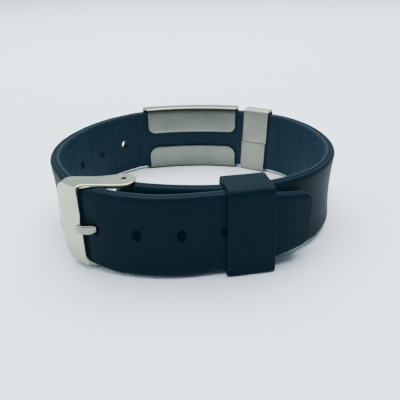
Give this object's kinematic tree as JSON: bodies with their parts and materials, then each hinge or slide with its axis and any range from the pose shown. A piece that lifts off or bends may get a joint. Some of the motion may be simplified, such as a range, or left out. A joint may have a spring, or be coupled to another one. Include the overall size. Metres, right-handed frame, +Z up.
{
  "type": "id bracelet",
  "caption": "Silicone strap ID bracelet closed by a pin buckle and keeper, with a blank curved steel plate and a wrap-round clip, resting on its edge.",
  "frame": {"origin": "middle of the loop's box, on the surface that the bracelet's edge rests on", "axes": "+Z up along the strap's width, +X to the right and +Y to the back as seen from the buckle's side, so the plate is at +Y"},
  "size_m": [0.0704, 0.0658, 0.0203],
  "materials": {
    "silicone": "matt moulded silicone, near black with a blue-green tint",
    "brushed_steel": "satin brushed",
    "buckle_metal": "polished nickel, slightly warm"
  },
  "bodies": {
    "root": {"strap": "silicone", "keeper": "silicone", "id_plate": "brushed_steel", "clip": "brushed_steel", "buckle_frame": "buckle_metal", "buckle_pin": "buckle_metal", "buckle_prong": "buckle_metal"}
  },
  "joints": []
}
